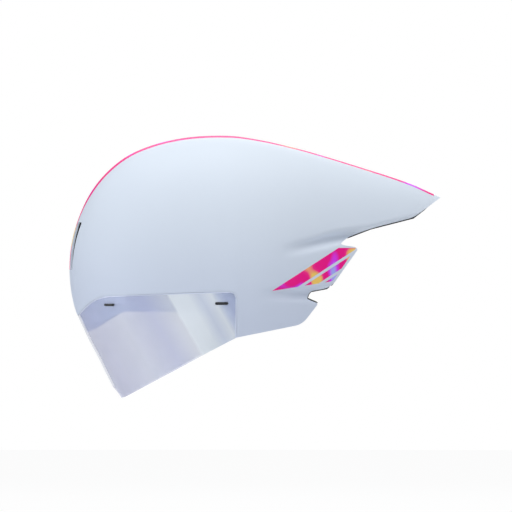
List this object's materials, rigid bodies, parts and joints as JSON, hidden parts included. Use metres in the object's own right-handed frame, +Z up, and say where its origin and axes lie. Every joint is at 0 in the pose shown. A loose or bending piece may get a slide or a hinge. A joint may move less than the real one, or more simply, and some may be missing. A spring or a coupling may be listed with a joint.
{
  "type": "aero time trial helmet",
  "caption": "Long-tailed aero time trial helmet with a pull-off wraparound visor, foam liner, pads, dial-tightened nape cradle and chin straps.",
  "frame": {"origin": "centre of the wearer's head inside the helmet, in the middle of its width, where the cranium's ellipsoid is centred", "axes": "-X is the front, +X runs to the tail's tip, +Z is up, +Y is the wearer's right"},
  "size_m": [0.3858, 0.2038, 0.2719],
  "materials": {
    "shell_white": "satin white lacquer",
    "visor_mirror": "light mirror coating",
    "magnet_black": "coated magnet",
    "eps_black": "expanded foam beads",
    "pad_fabric": "knitted mesh",
    "nylon_black": "moulded nylon",
    "band_nylon": "flexible nylon",
    "dial_rubber": "overmoulded grip",
    "steel": "zinc plated",
    "webbing": "woven polyester",
    "buckle_black": "moulded acetal"
  },
  "bodies": {
    "helmet": {"outer_shell": "shell_white", "shell_magnets": "magnet_black", "eps_liner": "eps_black", "brow_pad": "pad_fabric", "crown_pads": "pad_fabric", "side_pad_left": "pad_fabric", "side_pad_right": "pad_fabric", "height_keeper": "nylon_black", "temple_anchor_left": "nylon_black", "temple_anchor_right": "nylon_black", "chin_straps_left": "webbing", "chin_straps_right": "webbing", "strap_divider_left": "nylon_black", "strap_divider_right": "nylon_black", "strap_anchors": "nylon_black", "buckle_socket": "buckle_black", "buckle_plug": "buckle_black"},
    "visor": {"visor": "visor_mirror", "visor_magnets": "magnet_black"},
    "cradle": {"cradle_yoke": "nylon_black", "dial_cover": "nylon_black", "nape_pad": "pad_fabric", "temple_guide_left": "nylon_black", "temple_guide_right": "nylon_black"},
    "band_left": {"band_left": "band_nylon"},
    "band_right": {"band_right": "band_nylon"},
    "dial": {"dial_knob": "dial_rubber", "dial_pinion": "nylon_black", "dial_screw": "steel"}
  },
  "joints": [
    {"name": "visor_pull", "type": "slide", "parent": "helmet", "child": "visor", "axis": [-0.9659, 0, -0.2588], "range_m": [0, 0.2]},
    {"name": "cradle_tilt", "type": "hinge", "parent": "helmet", "child": "cradle", "pos_m": [-0.00839, 0, -0.00604], "axis": [0, 1, 0], "range_deg": [-6, 6]},
    {"name": "dial_turn", "type": "hinge", "parent": "cradle", "child": "dial", "pos_m": [0.0222, 0, -0.0131], "axis": [0.9744, 0, -0.225], "range_deg": [-150, 150]},
    {"name": "band_left_draw", "type": "hinge", "parent": "cradle", "child": "band_left", "pos_m": [0.0222, 0, -0.0131], "axis": [0.225, 0, 0.9744], "range_deg": [-7.21, 7.21]},
    {"name": "band_right_draw", "type": "hinge", "parent": "cradle", "child": "band_right", "pos_m": [0.0222, 0, -0.0131], "axis": [0.225, 0, 0.9744], "range_deg": [-7.21, 7.21]}
  ],
  "couplings": [
    {"joint": "band_left_draw", "follows": "dial_turn", "ratio": -0.047733},
    {"joint": "band_right_draw", "follows": "dial_turn", "ratio": 0.047733}
  ]
}
